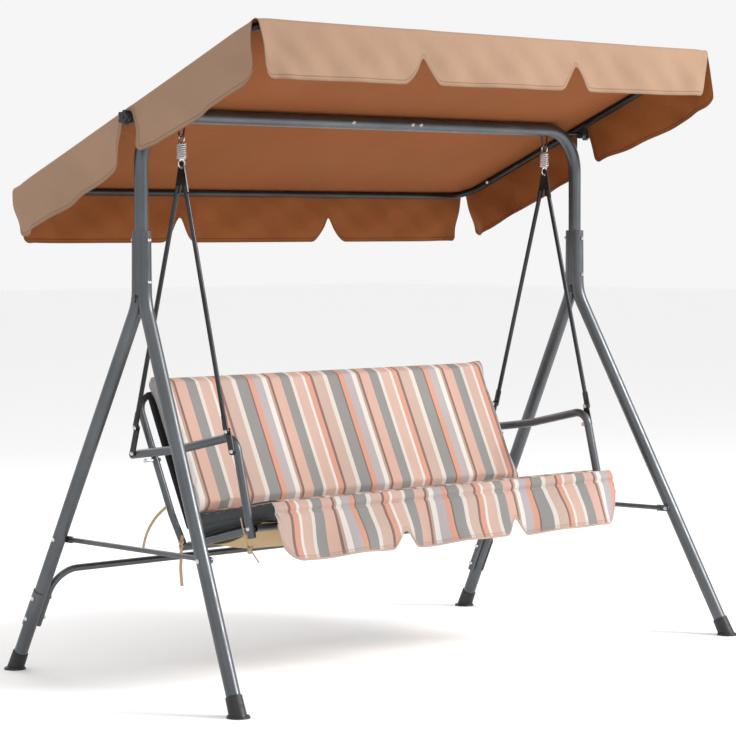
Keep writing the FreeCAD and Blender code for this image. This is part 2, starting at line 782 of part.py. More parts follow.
SKIRT_X = 690.0
SKIRT_DROP = 162.0
SKIRT_THICK = 4.0
SKIRT_NOTCH = {"rise": 48.0, "corner": 40.0, "notch_half": 42.0}
skirt_top = CUSHION_FRONT_TOP + Vector(0, -4, -2)
skirt_down = Vector(0, -56, -154).normalize()
skirt_edge = scalloped_edge(SKIRT_X, SKIRT_DROP, **SKIRT_NOTCH)
feature("seat_skirt", hanging_panel(skirt_top, skirt_down, skirt_edge, SKIRT_X, SKIRT_THICK))


# ---------------------------------------------------------------- canopy
TILT = math.radians(size("canopy_tilt"))
CANOPY_X = size("canopy_half")
REACH = size("canopy_reach")
SKIN = size("canopy_skin")
RISE = size("canopy_rise")
FRAME_TUBE = size("canopy_tube")
PIVOT = Vector(0, 0, PIVOT_Z)
slope_front = Vector(0, -math.cos(TILT), math.sin(TILT))
slope_up = Vector(0, math.sin(TILT), math.cos(TILT))
BAR_RISE = RISE - GAP - FRAME_TUBE / 2
BAR_X = CANOPY_X - SKIN - FRAME_TUBE / 2 - 0.5
BAR_REACH = REACH - SKIN - FRAME_TUBE / 2 - 0.5
JOINT_REACH = 400.0
PIN_INSET = 16.0
PIN_DEPTH = 5.0


def canopy_point(x, forward, rise):
    """A point of the tilted canopy: forward along its slope and rise off its pivot plane."""
    return PIVOT + Vector(x, 0, 0) + slope_front * forward + slope_up * rise


for side_name, side in SIDES.items():
    for forward in (JOINT_REACH + PIN_INSET, -JOINT_REACH - PIN_INSET):
        inner = canopy_point(side * (BAR_X - FRAME_TUBE / 2), forward, BAR_RISE)
        add_bolt("canopy_pins", inner, inner + Vector(side * PIN_DEPTH, 0, 0))


CORNER_BEND = 70.0


def canopy_bar(forward):
    """The front or rear bar of the canopy with its two rounded corners."""
    joint = math.copysign(JOINT_REACH + 2, forward)
    points = [canopy_point(-BAR_X, joint, BAR_RISE), canopy_point(-BAR_X, forward, BAR_RISE),
              canopy_point(BAR_X, forward, BAR_RISE), canopy_point(BAR_X, joint, BAR_RISE)]
    return tube(points, CORNER_BEND, FRAME_TUBE, size("tube_wall"))


feature("canopy_front_bar", drilled(canopy_bar(BAR_REACH)))
feature("canopy_rear_bar", drilled(canopy_bar(-BAR_REACH)))


RAIL_SPIGOT = 30.0


def side_rail(side):
    """A straight side bar whose narrowed ends fit inside the front and rear bars."""
    ends = [canopy_point(side * BAR_X, reach, BAR_RISE) for reach in (JOINT_REACH, -JOINT_REACH)]
    bore = FRAME_TUBE - 2 * size("tube_wall") - 2 * GAP
    run = ends[1].sub(ends[0]).normalize()
    outer = rod(ends[0], ends[1], FRAME_TUBE)
    spigot = rod(ends[0], ends[1], bore, RAIL_SPIGOT)
    hollow = rod(ends[0], ends[1], bore - 2 * SPIGOT_WALL, RAIL_SPIGOT + 1)
    return outer.fuse(spigot).cut(hollow)


PIVOT_BOLT = 8.0
BRACKET_LENGTH = 52.0
BRACKET_HALF = 8.5
BOSS = 30.0
STUD_OUT = 22.0
for side_name, side in SIDES.items():
    feature("canopy_side_" + side_name, drilled(side_rail(side)))
    # The bracket is a saddle welded under the side bar, with a boss bored for the stud.
    near = side * (BAR_X - BRACKET_HALF)
    far = side * (BAR_X + BRACKET_HALF)
    axis_near, axis_far = PIVOT + Vector(near, 0, 0), PIVOT + Vector(far, 0, 0)
    block = rod(axis_near, axis_far, BOSS)
    corners = [canopy_point(near, forward, rise)
               for forward, rise in ((-BRACKET_LENGTH / 2, BAR_RISE), (BRACKET_LENGTH / 2, BAR_RISE),
                                     (BOSS / 2 - 2, -BOSS / 4), (2 - BOSS / 2, -BOSS / 4))]
    web = Part.Face(Part.makePolygon(corners + corners[:1])).extrude(Vector(far - near, 0, 0))
    bar_hole = rod(canopy_point(side * BAR_X, -60, BAR_RISE), canopy_point(side * BAR_X, 60, BAR_RISE),
                   FRAME_TUBE)
    stud_hole = rod(axis_near, axis_far, PIVOT_BOLT + 2 * GAP, 5)
    above = box(Vector(-FAR, -FAR, BAR_RISE), Vector(FAR, FAR, FAR))
    above.rotate(Vector(0, 0, 0), Vector(1, 0, 0), -size("canopy_tilt"))
    above.translate(PIVOT)
    bracket = block.fuse(web).cut(bar_hole).cut(stud_hole).cut(above)
    feature("canopy_bracket_" + side_name, max(bracket.Solids, key=lambda solid: solid.Volume))
    # The stud is fixed to the upright and carries the knob outside the bracket.
    stud_start = PIVOT + Vector(side * (UPRIGHT_X + TUBE / 2 - 6), 0, 0)
    stud_end = PIVOT + Vector(side * (CANOPY_X + STUD_OUT), 0, 0)
    stud = rod(stud_start, stud_end, PIVOT_BOLT)
    upright = sweep([Vector(side * UPRIGHT_X, 0, 1200), Vector(side * UPRIGHT_X, 0, BEAM_Z),
                     Vector(0, 0, BEAM_Z)], size("beam_bend"), TUBE)
    boss_start = PIVOT + Vector(side * (UPRIGHT_X - 70), 0, 0)
    feature("canopy_stud_" + side_name, stud.fuse(rod(boss_start, stud_start, PIVOT_BOLT)).cut(upright))


KNOB_HUB = 30.0
KNOB_LOBE = 11.0
KNOB_WIDE = 16.0
KNOB_LOBES = 5


def knob(side_name, side):
    """A five-lobed knob: one lobe is sketched and padded, then repeated round the hub."""
    label = "canopy_knob_" + side_name
    body = doc.addObject("PartDesign::Body", label)
    plane = [f for f in body.Origin.OriginFeatures if f.Role == "YZ_Plane"][0]
    hub = body.newObject("Sketcher::SketchObject", label + "_hub")
    hub.AttachmentSupport = [(plane, "")]
    hub.MapMode = "FlatFace"
    for diameter in (KNOB_HUB, PIVOT_BOLT + 2 * GAP):
        number = hub.addGeometry(Part.Circle(Vector(0, 0, 0), UP, diameter / 2), False)
        hub.addConstraint(Sketcher.Constraint("Coincident", number, 3, -1, 1))
        hub.addConstraint(Sketcher.Constraint("Radius", number, diameter / 2))
    pad = body.newObject("PartDesign::Pad", label + "_pad")
    pad.Profile = hub
    pad.Length = KNOB_WIDE
    lobe = body.newObject("Sketcher::SketchObject", label + "_lobe")
    lobe.AttachmentSupport = [(plane, "")]
    lobe.MapMode = "FlatFace"
    number = lobe.addGeometry(Part.Circle(Vector(KNOB_HUB / 2, 0, 0), UP, KNOB_LOBE / 2), False)
    lobe.addConstraint(Sketcher.Constraint("Radius", number, KNOB_LOBE / 2))
    lobe_pad = body.newObject("PartDesign::Pad", label + "_lobe_pad")
    lobe_pad.Profile = lobe
    lobe_pad.Length = KNOB_WIDE
    doc.recompute()
    ring = body.newObject("PartDesign::PolarPattern", label + "_ring")
    ring.Originals = [lobe_pad]
    ring.Axis = (hub, ["N_Axis"])
    ring.Angle = 360
    ring.Occurrences = KNOB_LOBES
    body.Tip = ring
    start = side * (CANOPY_X + 4)
    turn = Rotation() if side > 0 else Rotation(UP, 180)
    body.Placement = Placement(PIVOT + Vector(start, 0, 0), turn)
    return keep(label, body)


for side_name, side in SIDES.items():
    knob(side_name, side)

FRONT_REACH = REACH + 6
top_corners = [canopy_point(-CANOPY_X, FRONT_REACH, RISE), canopy_point(CANOPY_X, FRONT_REACH, RISE),
               canopy_point(CANOPY_X, -REACH, RISE), canopy_point(-CANOPY_X, -REACH, RISE)]
top_face = Part.Face(Part.makePolygon(top_corners + top_corners[:1]))
feature("canopy_top", top_face.extrude(slope_up * SKIN))

DROP = size("valance_drop")
valance_edge = scalloped_edge(CANOPY_X - SKIN - 2, DROP, size("notch_rise"), 55.0, 62.0)
for end_name, forward in (("front", FRONT_REACH - SKIN - 1), ("rear", -REACH)):
    top_line = canopy_point(0, forward, RISE)
    top_line = Vector(0, top_line.y, top_line.z - GAP - 1.5)
    # The panel hangs straight down; its outline is laid out from the middle of the top line.
    panel = hanging_panel(top_line, Vector(0, 0, -1), valance_edge, CANOPY_X - SKIN - 2, SKIN)
    feature("valance_" + end_name, panel)

SIDE_SLIT = 18.0
SIDE_TIP = 92.0


def side_flap(side, end):
    """One half of a side valance: it hangs from the side edge between knob slit and corner."""
    outline = []
    clear = SKIN + 2.0
    corner = canopy_point(0, -end * (REACH - clear), RISE)
    slit = canopy_point(0, -end * SIDE_SLIT, RISE)
    outline.append((corner.y, corner.z - GAP))
    outline.append((corner.y, corner.z - DROP + 50))
    outline.append((corner.y - end * 16, corner.z - DROP + 14 + end * 6))
    outline.append((corner.y - end * 50, corner.z - DROP + end * 20))
    low = canopy_point(0, -end * (SIDE_TIP + 30), RISE)
    tip = canopy_point(0, -end * (SIDE_TIP - 20), RISE)
    outline.append((low.y, low.z - DROP + 8))
    outline.append((tip.y, tip.z - DROP + 22))
    inner = canopy_point(0, -end * (SIDE_SLIT + 24), RISE)
    outline.append((inner.y, inner.z - DROP * 0.6))
    outline.append((slit.y, slit.z - GAP))
    return slab(outline, side * (CANOPY_X - SKIN / 2), SKIN)


for side_name, side in SIDES.items():
    feature("valance_" + side_name, side_flap(side, -1).fuse(side_flap(side, 1)))


# ---------------------------------------------------------------- ties
def tie_path(points):
    """A limp ribbon's route as runs and arcs; each arc takes 0.45 of its shorter run."""
    radii = []
    for before, corner, after in zip(points, points[1:], points[2:]):
        back, ahead = before.sub(corner), after.sub(corner)
        half_turn = (math.pi - back.getAngle(ahead)) / 2
        radii.append(0.45 * min(back.Length, ahead.Length) / math.tan(half_turn))
    return radii


TIES = {
    "tie_back_left": [(-706, 104, 470), (-712, 128, 452), (-716, 158, 420), (-717, 184, 380),
                      (-716, 196, 338)],
    "tie_rear_left": [(-704, 40, 396), (-715, 34, 374), (-718, 30, 340), (-716, 36, 300),
                      (-712, 34, 258)],
    "tie_front_left": [(-706, -198, 462), (-707, -214, 416), (-704, -232, 380), (-690, -254, 344)],
    "tie_front_right": [(706, -198, 462), (707, -210, 416), (705, -224, 380), (698, -240, 342)],
}
for label, places in TIES.items():
    points = [Vector(*place) for place in places]
    radii = tie_path(points)
    print(label, "arc radii", [round(radius) for radius in radii])
    feature(label, sweep(points, radii, size("tie_size")))

for group, pairs in bolts.items():
    feature(group, Part.makeCompound([bolt_shape(start, end) for start, end in pairs]))


# ---------------------------------------------------------------- check and write
doc.recompute()
for obj in doc.Objects:
    if "Invalid" in obj.State or "Error" in obj.State:
        raise RuntimeError("object failed: " + obj.Label)
for label, obj in made.items():
    if obj.Shape.isNull() or not obj.Shape.isValid():
        raise RuntimeError("shape failed: " + label)
for name in os.listdir("parts"):
    if name.endswith(".step"):
        os.remove(os.path.join("parts", name))
for label, obj in made.items():
    obj.Shape.exportStep("parts/%s.step" % label)
print(len(made), "sub-parts written")
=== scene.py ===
import json
import math

import bmesh
import bpy
import numpy as np
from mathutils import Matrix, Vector


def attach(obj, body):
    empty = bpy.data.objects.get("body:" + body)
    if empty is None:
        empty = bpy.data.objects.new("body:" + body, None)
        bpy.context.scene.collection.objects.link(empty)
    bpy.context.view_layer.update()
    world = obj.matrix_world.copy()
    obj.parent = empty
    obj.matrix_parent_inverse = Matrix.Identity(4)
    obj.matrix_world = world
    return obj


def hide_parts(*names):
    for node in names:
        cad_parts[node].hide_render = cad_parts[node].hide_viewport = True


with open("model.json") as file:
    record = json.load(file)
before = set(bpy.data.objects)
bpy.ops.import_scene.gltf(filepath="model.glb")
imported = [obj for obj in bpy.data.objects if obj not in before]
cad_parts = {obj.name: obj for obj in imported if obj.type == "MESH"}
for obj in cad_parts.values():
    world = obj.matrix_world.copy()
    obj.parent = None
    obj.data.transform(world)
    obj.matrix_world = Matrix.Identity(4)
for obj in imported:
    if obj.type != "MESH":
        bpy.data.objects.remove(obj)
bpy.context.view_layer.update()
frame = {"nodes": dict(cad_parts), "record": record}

# The looks of a canopy swing bench: cloth canopy, padded striped seat, slings, ribbons and
# every material. Metres; X to the right seen from the front, the front faces -Y, Z up.
scene = bpy.context.scene


# ---------------------------------------------------------------- camera
CAMERA_PLACE = (-5.603, -5.614, 1.226)
CAMERA_TURN = (87.14, 0.09, -44.8)
CAMERA_LENS = 134.2
camera_data = bpy.data.cameras.new("camera")
camera_data.lens = CAMERA_LENS
camera_data.sensor_width = 36.0
camera = bpy.data.objects.new("camera", camera_data)
camera.location = CAMERA_PLACE
camera.rotation_euler = [math.radians(angle) for angle in CAMERA_TURN]
scene.collection.objects.link(camera)
scene.camera = camera


# ---------------------------------------------------------------- node helpers
class Shader:
    """A small wrapper that adds nodes to one material and links them."""

    def __init__(self, name):
        self.material = bpy.data.materials.new(name)
        self.material.use_nodes = True
        self.tree = self.material.node_tree
        self.bsdf = self.tree.nodes["Principled BSDF"]
        self.place = self.node("ShaderNodeTexCoord").outputs["Object"]

    def node(self, kind, **settings):
        made = self.tree.nodes.new(kind)
        for key, value in settings.items():
            setattr(made, key, value)
        return made

    def link(self, source, target):
        self.tree.links.new(source, target)

    def put(self, target, value):
        if isinstance(value, bpy.types.NodeSocket):
            self.link(value, target)
        else:
            target.default_value = value

    def math(self, operation, first, second=0.0):
        made = self.node("ShaderNodeMath", operation=operation)
        self.put(made.inputs[0], first)
        self.put(made.inputs[1], second)
        return made.outputs[0]

    def noise(self, scale, detail=3.0, stretch=None):
        made = self.node("ShaderNodeTexNoise")
        made.inputs["Scale"].default_value = scale
        made.inputs["Detail"].default_value = detail
        place = self.place
        if stretch:
            mapping = self.node("ShaderNodeMapping")
            mapping.inputs["Scale"].default_value = stretch
            self.link(place, mapping.inputs["Vector"])
            place = mapping.outputs["Vector"]
        self.link(place, made.inputs["Vector"])
        return made.outputs["Fac"]

    def wave(self, scale, direction):
        made = self.node("ShaderNodeTexWave", wave_type="BANDS", bands_direction=direction)
        made.inputs["Scale"].default_value = scale
        made.inputs["Distortion"].default_value = 0.4
        self.link(self.place, made.inputs["Vector"])
        return made.outputs["Fac"]

    def spread(self, value, low, high, out_low=0.0, out_high=1.0):
        made = self.node("ShaderNodeMapRange")
        for name, amount in (("From Min", low), ("From Max", high),
                             ("To Min", out_low), ("To Max", out_high)):
            made.inputs[name].default_value = amount
        self.put(made.inputs["Value"], value)
        return made.outputs["Result"]

    def mix(self, factor, first, second, blend="MIX"):
        made = self.node("ShaderNodeMix", data_type="RGBA", blend_type=blend)
        self.put(made.inputs[0], factor)
        for index, color in ((6, first), (7, second)):
            self.put(made.inputs[index], color)
        return made.outputs[2]

    def axis(self, index):
        made = self.node("ShaderNodeSeparateXYZ")
        self.link(self.place, made.inputs[0])
        return made.outputs[index]

    def attribute(self, name):
        made = self.node("ShaderNodeAttribute", attribute_name=name)
        return made.outputs["Fac"]

    def bump(self, height, strength, distance):
        made = self.node("ShaderNodeBump")
        made.inputs["Strength"].default_value = strength
        made.inputs["Distance"].default_value = distance
        self.link(height, made.inputs["Height"])
        self.link(made.outputs["Normal"], self.bsdf.inputs["Normal"])

    def set(self, **values):
        for name, value in values.items():
            self.put(self.bsdf.inputs[name.replace("_", " ")], value)


def shade(color, factor):
    """A colour made darker or lighter, with its alpha."""
    return tuple(channel * factor for channel in color[:3]) + (1.0,)


# ---------------------------------------------------------------- hard materials
def painted_steel(name, color, roughness, dust):
    """Powder coat: a fine orange-peel surface, faint dust and a few rubbed patches."""
    s = Shader(name)
    broad = s.spread(s.noise(5.0, 4.0), 0.35, 0.7)
    rubbed = s.spread(s.noise(14.0, 3.0), 0.62, 0.80, 0.0, 0.3)
    base = s.mix(broad, shade(color, 0.88), shade(color, 1.14))
    base = s.mix(s.math("MULTIPLY", broad, dust), base, (0.42, 0.40, 0.37, 1.0))
    base = s.mix(s.math("MULTIPLY", rubbed, 0.25), base, (0.30, 0.31, 0.32, 1.0))
    worn = s.spread(s.noise(30.0), 0.3, 0.7, roughness - 0.06, roughness + 0.08)
    s.set(Base_Color=base, Roughness=worn, Metallic=0.8)
    s.bsdf.inputs["Coat Weight"].default_value = 0.12
    s.bsdf.inputs["Coat Roughness"].default_value = 0.25
    s.bump(s.noise(220.0, 1.0), 0.02, 0.0002)
    return s.material


def zinc(name):
    """Bright zinc plate with the faint clouding and fine scratches of plated steel."""
    s = Shader(name)
    cloud = s.spread(s.noise(60.0, 4.0), 0.3, 0.7)
    scratch = s.noise(400.0, 2.0, (1.0, 1.0, 14.0))
    base = s.mix(cloud, (0.56, 0.57, 0.58, 1.0), (0.78, 0.78, 0.76, 1.0))
    s.set(Base_Color=base, Metallic=1.0, Roughness=s.spread(scratch, 0.3, 0.7, 0.2, 0.42))
    s.bump(scratch, 0.15, 0.0003)
    return s.material


def moulded_plastic(name, color):
    """Black moulded plastic with a fine spark-eroded grain and scuffed high spots."""
    s = Shader(name)
    grain = s.noise(1400.0, 2.0)
    scuff = s.spread(s.noise(38.0, 5.0), 0.6, 0.75, 0.0, 0.45)
    base = s.mix(scuff, color, (0.09, 0.09, 0.088, 1.0))
    s.set(Base_Color=base, Roughness=s.spread(s.noise(60.0), 0.3, 0.7, 0.45, 0.62))
    s.bump(grain, 0.25, 0.0004)
    return s.material


# ---------------------------------------------------------------- cloth materials
def wave_scale(pitch):
    """The wave texture's scale that gives one band for each pitch, in metres."""
    return 2 * math.pi / (20.0 * pitch)


def weave_height(s, pitch):
    """The height of a plain weave: threads in two directions at the given pitch."""
    warp, weft = s.wave(wave_scale(pitch), "X"), s.wave(wave_scale(pitch), "Z")
    return s.math("ADD", s.math("MULTIPLY", warp, 0.5), s.math("MULTIPLY", weft, 0.5))


WEAVE_HEIGHT = 0.0004


def finish_cloth(s, base, pitch, sheen, creasing=0.004):
    """Adds slubs, fading, creases and the weave's relief to a cloth's base colour."""
    slub = s.noise(260.0, 2.0, (1.0, 4.0, 4.0))
    fading = s.spread(s.noise(2.6, 4.0), 0.3, 0.7)
    tone = s.mix(s.math("MULTIPLY", slub, 0.22), base, (0.9, 0.88, 0.85, 1.0), "MULTIPLY")
    tone = s.mix(1.0, tone, s.spread(fading, 0.0, 1.0, 0.92, 1.06), "MULTIPLY")
    s.set(Base_Color=tone, Roughness=s.spread(slub, 0.2, 0.8, 0.78, 0.94))
    s.bsdf.inputs["Sheen Weight"].default_value = sheen * 0.4
    s.bsdf.inputs["Sheen Roughness"].default_value = 0.5
    s.bsdf.inputs["Specular IOR Level"].default_value = 0.15
    creases = s.noise(11.0, 4.0)
    height = s.math("ADD", s.math("MULTIPLY", weave_height(s, pitch), WEAVE_HEIGHT),
                    s.math("MULTIPLY", creases, creasing))
    s.bump(height, 0.4, 1.0)
    return s.material


def hem_marks(s, base, thread, inset=0.012, width=0.0016):
    """Draws a hem's stitch line at a fixed distance from the cloth's cut edge."""
    away = s.attribute("hem")
    line = s.math("LESS_THAN", s.math("ABSOLUTE", s.math("SUBTRACT", away, inset)), width)
    edge = s.spread(away, 0.0, 0.010, 0.55, 0.0)
    base = s.mix(edge, base, shade(thread, 0.75))
    return s.mix(s.math("MULTIPLY", line, 0.6), base, shade(thread, 0.6))


def canopy_cloth(name, color, thread):
    """The canopy's plain woven cloth, with stitched hems."""
    s = Shader(name)
    base = hem_marks(s, shade(color, 1.0), thread)
    return finish_cloth(s, base, 0.0016, 0.04, 0.014)


def sling_cloth(name, color, pitch=0.0024):
    """A plain ribbed cloth: slings, borders, ribbons and piping."""
    s = Shader(name)
    rib = s.wave(wave_scale(pitch * 3), "X")
    base = s.mix(s.math("MULTIPLY", rib, 0.35), shade(color, 1.0), shade(color, 0.72))
    return finish_cloth(s, base, pitch, 0.1)


# The stripes of one repeat: (width in millimetres, colour name), in order along X.
STRIPES = [
    (42, "grey"), (5, "umber"), (20, "coral"), (32, "lilac"), (19, "white"), (8, "sand"),
    (9, "umber"), (37, "salmon"), (37, "grey"), (12, "cream"), (39, "blush"), (9, "white"),
    (22, "coral"), (9, "mauve"), (42, "blush_pale"), (18, "cream"),
]
DYES = {
    "grey": (0.36, 0.355, 0.345), "umber": (0.30, 0.20, 0.16), "coral": (0.82, 0.42, 0.31),
    "lilac": (0.58, 0.52, 0.53), "white": (0.93, 0.88, 0.83), "sand": (0.62, 0.43, 0.34),
    "salmon": (0.80, 0.52, 0.43), "cream": (0.88, 0.80, 0.72), "blush": (0.78, 0.54, 0.45),
    "mauve": (0.33, 0.20, 0.18), "blush_pale": (0.70, 0.52, 0.44),
}
REPEAT = sum(width for width, _ in STRIPES) / 1000.0


def striped_cloth(name, start, direction, depth, thread=None):
    """Woven stripes across X: start is where a repeat begins, direction which way it runs, and
    depth how far the dyes are darkened: partly the cloth's tone, partly painted shade, as the seat's and
    the skirt's copies are darker than the back's."""
    s = Shader(name)
    across = s.math("MULTIPLY", s.math("SUBTRACT", s.axis(0), start), direction / REPEAT)
    across = s.math("ADD", across, 20.0)
    across = s.math("FRACT", across)
    ramp = s.node("ShaderNodeValToRGB")
    ramp.color_ramp.interpolation = "CONSTANT"
    s.link(across, ramp.inputs["Fac"])
    stops = ramp.color_ramp.elements
    done = 0.0
    for index, (width, dye) in enumerate(STRIPES):
        if index < 2:
            stop = stops[index]
            stop.position = done / (REPEAT * 1000.0)
        else:
            stop = stops.new(done / (REPEAT * 1000.0))
        stop.color = shade(DYES[dye], depth)
        done += width
    base = ramp.outputs["Color"]
    if thread:
        base = hem_marks(s, base, thread, 0.010, 0.001)
    return finish_cloth(s, base, 0.0014, 0.15)


GUNMETAL = painted_steel("gunmetal_paint", (0.105, 0.113, 0.122), 0.38, 0.03)
BLACK_PAINT = painted_steel("black_paint", (0.030, 0.032, 0.036), 0.34, 0.05)
ZINC = zinc("zinc_plate")
PLASTIC = moulded_plastic("black_plastic", (0.012, 0.012, 0.013, 1.0))
CANOPY_OUT = canopy_cloth("canopy_outside", (0.335, 0.212, 0.142), (0.25, 0.15, 0.09))
# The canopy's inner side is a darker, redder copy of its cloth and thread: painted shade, with painted
# light shining through the cloth.
CANOPY_IN_PAINTED_SHADE = canopy_cloth("canopy_inside_painted_shade", (0.275, 0.088, 0.025), (0.12, 0.04, 0.015))
# Three copies of one striped cloth: the seat's and the skirt's are darker than the back's, which is
# painted shade.
STRIPED_BACK = striped_cloth("striped_back", 0.335, 1.0, 0.76)
STRIPED_SEAT = striped_cloth("striped_seat", -0.345, -1.0, 0.60)
STRIPED_SKIRT = striped_cloth("striped_skirt", -0.345, -1.0, 0.60, (0.40, 0.27, 0.22))
CHARCOAL = sling_cloth("charcoal_border", (0.070, 0.075, 0.080), 0.0014)
PALE_BORDER = sling_cloth("pale_border", (0.36, 0.34, 0.33), 0.0014)
TAN = sling_cloth("tan_sling", (0.50, 0.35, 0.19))
BLACK_CLOTH = sling_cloth("black_sling", (0.035, 0.036, 0.04))
RIBBON = sling_cloth("ribbon", (0.50, 0.36, 0.22), 0.0012)
PIPING = sling_cloth("piping", (0.46, 0.34, 0.28), 0.0012)

SLOT_MATERIALS = {
    "grey_steel": GUNMETAL, "black_steel": BLACK_PAINT, "zinc_steel": ZINC, "black_plastic": PLASTIC,
    "canopy_cloth": CANOPY_OUT, "tan_cloth": TAN, "black_cloth": BLACK_CLOTH,
    "striped_cloth": STRIPED_BACK,
}
for part in frame["record"]["subparts"]:
    node = frame["nodes"][part["node"]]
    node.data.materials.clear()
    node.data.materials.append(SLOT_MATERIALS[part["material_slot"]])


# ---------------------------------------------------------------- mesh helpers
def mesh_object(name, vertices, faces, materials):
    """A smooth-shaded mesh object from its points and faces."""
    mesh = bpy.data.meshes.new(name)
    mesh.from_pydata([tuple(v) for v in vertices], [], faces)
    for material in materials:
        mesh.materials.append(material)
    piece = bpy.data.objects.new(name, mesh)
    scene.collection.objects.link(piece)
    for polygon in mesh.polygons:
        polygon.use_smooth = True
    return piece


def apply_modifiers(piece):
    """Turns the piece's modifiers into plain mesh."""
    bpy.context.view_layer.update()
    graph = bpy.context.evaluated_depsgraph_get()
    mesh = bpy.data.meshes.new_from_object(piece.evaluated_get(graph))
    piece.modifiers.clear()
    piece.data = mesh


def thicken(piece, thickness, inner_material=0):
    """Gives a sheet its thickness, with the inner side in its own material if there is one."""
    solid = piece.modifiers.new("thickness", "SOLIDIFY")
    solid.thickness = thickness
    solid.offset = 0
    solid.material_offset = inner_material


def smooth_once(piece):
    """Adds one level of subdivision and applies everything on the piece."""
    smooth = piece.modifiers.new("smooth", "SUBSURF")
    smooth.levels = 1
    smooth.render_levels = 1
    apply_modifiers(piece)


def set_hem(piece, values):
    """Stores each point's distance from the sheet's cut edge, which the hem marks read."""
    attribute = piece.data.attributes.new("hem", "FLOAT", "POINT")
    attribute.data.foreach_set("value", np.asarray(values, np.float32))


def grid_faces(columns, rows):
    """The quads of a grid whose points run down one column after another."""
    stride = rows + 1
    faces = []
    for column in range(columns):
        for row in range(rows):
            first = column * stride + row
            faces.append((first, first + 1, first + stride + 1, first + stride))
    return faces


def seam_cord(name, path, thickness, color, parent):
    """Piping: a thin round cord sewn along a closed or open seam."""
    curve = bpy.data.curves.new(name, "CURVE")
    curve.dimensions = "3D"
    curve.bevel_depth = thickness / 2
    curve.bevel_resolution = 2
    spline = curve.splines.new("POLY")
    spline.points.add(len(path) - 1)
    for place, point in zip(spline.points, path):
        place.co = (*point, 1.0)
    curve.materials.append(color)
    piece = bpy.data.objects.new(name, curve)
    scene.collection.objects.link(piece)
    bpy.context.view_layer.update()
    mesh = bpy.data.meshes.new_from_object(piece.evaluated_get(
        bpy.context.evaluated_depsgraph_get()))
    bpy.data.objects.remove(piece)
    piece = bpy.data.objects.new(name, mesh)
    scene.collection.objects.link(piece)
    for polygon in mesh.polygons:
        polygon.use_smooth = True
    piece.parent = parent
    return piece


# ---------------------------------------------------------------- ribbons (free cords)
RIBBON_WIDTH = 0.008
KNOT_SIZE = 0.0045


def knot(name, place, parent):
    """A small overhand knot in a ribbon, drawn as a tight three-lobed loop."""
    path = []
    for index in range(49):
        turn = 2 * math.pi * index / 48
        path.append(Vector(place) + KNOT_SIZE * Vector((
            math.sin(3 * turn) * 0.8, math.sin(turn) + 1.3 * math.sin(2 * turn),
            math.cos(turn) - 1.3 * math.cos(2 * turn))))
    return seam_cord(name, path, 0.0055, RIBBON, parent)


def ribbon(name, node, points, tilt, knot_at=None):
    """A flat woven tie hanging from the seat, drawn as a narrow strip along its route."""
    curve = bpy.data.curves.new(name, "CURVE")
    curve.dimensions = "3D"
    curve.extrude = RIBBON_WIDTH / 2
    curve.bevel_depth = 0.0004
    curve.bevel_resolution = 1
    curve.resolution_u = 8
    spline = curve.splines.new("NURBS")
    spline.points.add(len(points) - 1)
    for place, point in zip(spline.points, points):
        place.co = (*point, 1.0)
        place.tilt = tilt
    spline.order_u = 3
    spline.use_endpoint_u = True
    curve.materials.append(RIBBON)
    piece = bpy.data.objects.new(name, curve)
    scene.collection.objects.link(piece)
    knots = [knot(name + "_knot", points[knot_at], piece)] if knot_at else []
    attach(piece, "seat")
    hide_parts(node)


ribbon("ribbon_back_left", "tie_back_left", [
    (-0.706, 0.104, 0.470), (-0.712, 0.128, 0.452), (-0.716, 0.158, 0.420),
    (-0.717, 0.184, 0.380), (-0.716, 0.196, 0.338)], 0.0)
ribbon("ribbon_rear_left", "tie_rear_left", [
    (-0.704, 0.040, 0.396), (-0.715, 0.034, 0.374), (-0.718, 0.030, 0.340),
    (-0.716, 0.036, 0.300), (-0.712, 0.034, 0.258)], 1.2, 1)
ribbon("ribbon_front_left", "tie_front_left", [
    (-0.706, -0.198, 0.462), (-0.707, -0.214, 0.416), (-0.704, -0.232, 0.380),
    (-0.690, -0.254, 0.344)], 0.3, 2)
ribbon("ribbon_front_right", "tie_front_right", [
    (0.706, -0.198, 0.462), (0.707, -0.210, 0.416), (0.705, -0.224, 0.380),
    (0.698, -0.240, 0.342)], -0.3, 2)


# ---------------------------------------------------------------- canopy
TILT = math.radians(22.8)
PIVOT = Vector((0, 0, 1.527))
SLOPE_FRONT = Vector((0, -math.cos(TILT), math.sin(TILT)))
SLOPE_UP = Vector((0, math.sin(TILT), math.cos(TILT)))
CANOPY_X = 0.921
CANOPY_FRONT = 0.551
CANOPY_REAR = -0.545
CANOPY_RISE = 0.0299
CANOPY_SKIN = 0.0016
EDGE_ROUND = 0.011
DROP = 0.145


def canopy_point(x, forward, rise):
    """A point of the tilted canopy: forward along its slope and rise off its pivot plane."""
    return PIVOT + Vector((x, 0, 0)) + SLOPE_FRONT * forward + SLOPE_UP * rise


def smooth_step(value):
    """Goes softly from 0 to 1 as the value does."""
    value = min(1.0, max(0.0, value))
    return value * value * (3 - 2 * value)


def bell(value, middle, width):
    """A hump of height 1 about the middle."""
    return math.exp(-((value - middle) / width) ** 2)


SLACK = 0.012
RIPPLE = 0.0013
BEAM_CLEAR = 0.16
CORNER_PUCKER = 0.0022
BAR_REACH = 0.54


